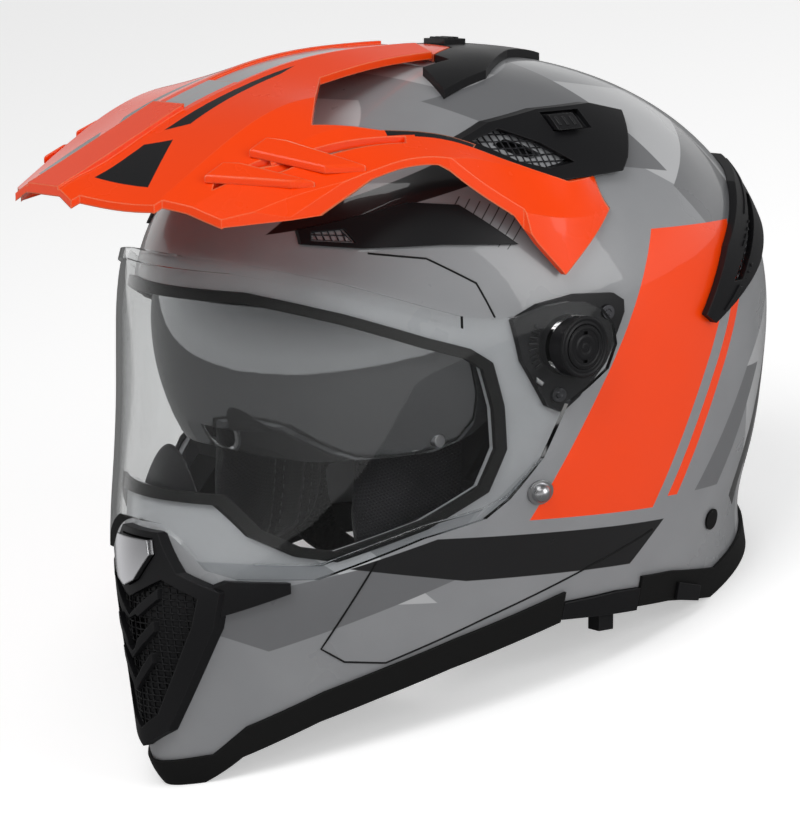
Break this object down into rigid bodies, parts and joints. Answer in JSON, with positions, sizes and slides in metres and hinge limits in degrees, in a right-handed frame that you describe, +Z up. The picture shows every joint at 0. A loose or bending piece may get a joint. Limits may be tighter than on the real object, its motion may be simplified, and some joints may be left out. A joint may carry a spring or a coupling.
{
  "type": "dual sport helmet",
  "caption": "Full-face dual sport helmet with a fixed peak, a clear shield that swings up, a drop-down sun visor worked by a lever, sliding vents and a padded liner with a chin strap.",
  "frame": {"origin": "on the table under the middle of the helmet's bounding box, as it stands on its chin and rear edge", "axes": "+Z up, -Y the way the face looks, +X the wearer's left"},
  "size_m": [0.265, 0.3504, 0.2729],
  "materials": {
    "black_rubber": "matte",
    "black_satin": "satin",
    "liner_fabric": "matte",
    "silver": "polished",
    "strap_webbing": "matte",
    "steel": "satin",
    "black_foam": "matte",
    "clear_shield": "gloss",
    "shell_grey": "gloss",
    "peak_orange": "gloss",
    "dark_screw": "satin",
    "tinted_visor": "gloss"
  },
  "bodies": {
    "helmet": {"base_trim": "black_rubber", "breath_deflector": "black_satin", "brow_vent_left": "black_satin", "brow_vent_right": "black_satin", "cheek_pad_left": "liner_fabric", "cheek_pad_right": "liner_fabric", "chin_strap_left": "strap_webbing", "chin_strap_right": "strap_webbing", "chin_vent_frame": "black_satin", "chin_vent_inset": "black_satin", "chin_winglet_left": "black_satin", "chin_winglet_right": "black_satin", "crown_pad": "liner_fabric", "crown_vent_left": "black_satin", "crown_vent_right": "black_satin", "d_rings": "steel", "eps_chin": "black_foam", "eps_liner": "black_foam", "exhaust_vent_left": "black_satin", "exhaust_vent_right": "black_satin", "eye_port_seal": "black_rubber", "lever_plate": "black_satin", "neck_roll": "liner_fabric", "outer_shell": "shell_grey", "peak": "peak_orange", "peak_rear_piece": "peak_orange", "pivot_plate_left": "black_satin", "pivot_plate_right": "black_satin", "pivot_screws_left": "dark_screw", "pivot_screws_right": "dark_screw", "rear_plug_left": "black_rubber", "rear_plug_right": "black_rubber", "rear_trim_clip_left": "black_satin", "side_stud_left": "steel", "side_stud_right": "steel", "strap_rivet_left": "steel", "strap_rivet_right": "steel", "sun_visor_pivot_left": "black_satin", "sun_visor_pivot_right": "black_satin", "top_vent_housing": "black_satin"},
    "shield": {"face_shield": "clear_shield"},
    "knob_left": {"pivot_knob_left": "black_satin"},
    "knob_right": {"pivot_knob_right": "black_satin"},
    "inner_visor": {"sun_visor": "tinted_visor", "visor_rivet_left": "steel", "visor_rivet_right": "steel"},
    "visor_lever": {"sun_visor_lever": "black_satin"},
    "top_slider": {"top_vent_slider": "black_satin"},
    "crown_slide_left": {"crown_slider_left": "black_satin"},
    "crown_slide_right": {"crown_slider_right": "black_satin"},
    "vent_button": {"chin_button": "silver"}
  },
  "joints": [
    {"name": "shield_hinge", "type": "hinge", "parent": "helmet", "child": "shield", "pos_m": [0, -0.00139, 0.14698], "axis": [-1, 0, 0], "range_deg": [0, 35]},
    {"name": "sun_visor_hinge", "type": "hinge", "parent": "helmet", "child": "inner_visor", "pos_m": [0, -0.00139, 0.14698], "axis": [-1, 0, 0], "range_deg": [0, 41]},
    {"name": "visor_lever_slide", "type": "slide", "parent": "helmet", "child": "visor_lever", "axis": [0, -0.9542, 0.299], "range_m": [0, 0.016]},
    {"name": "knob_turn_left", "type": "hinge", "parent": "helmet", "child": "knob_left", "pos_m": [0.128, -0.00139, 0.14698], "axis": [1, 0, 0], "range_deg": [0, 90]},
    {"name": "knob_turn_right", "type": "hinge", "parent": "helmet", "child": "knob_right", "pos_m": [-0.128, -0.00139, 0.14698], "axis": [-1, 0, 0], "range_deg": [0, 90]},
    {"name": "top_vent_slide", "type": "slide", "parent": "helmet", "child": "top_slider", "axis": [0, 0.9542, -0.299], "range_m": [0, 0.008]},
    {"name": "crown_vent_slide_left", "type": "slide", "parent": "helmet", "child": "crown_slide_left", "axis": [0, 0.9542, -0.299], "range_m": [0, 0.006]},
    {"name": "crown_vent_slide_right", "type": "slide", "parent": "helmet", "child": "crown_slide_right", "axis": [0, 0.9542, -0.299], "range_m": [0, 0.006]},
    {"name": "chin_button_press", "type": "slide", "parent": "helmet", "child": "vent_button", "axis": [0, 0.9542, -0.299], "range_m": [0, 0.002], "stiffness_N_per_m": 400}
  ],
  "couplings": [
    {"joint": "visor_lever_slide", "follows": "sun_visor_hinge", "m_per_rad": 0.0223}
  ]
}
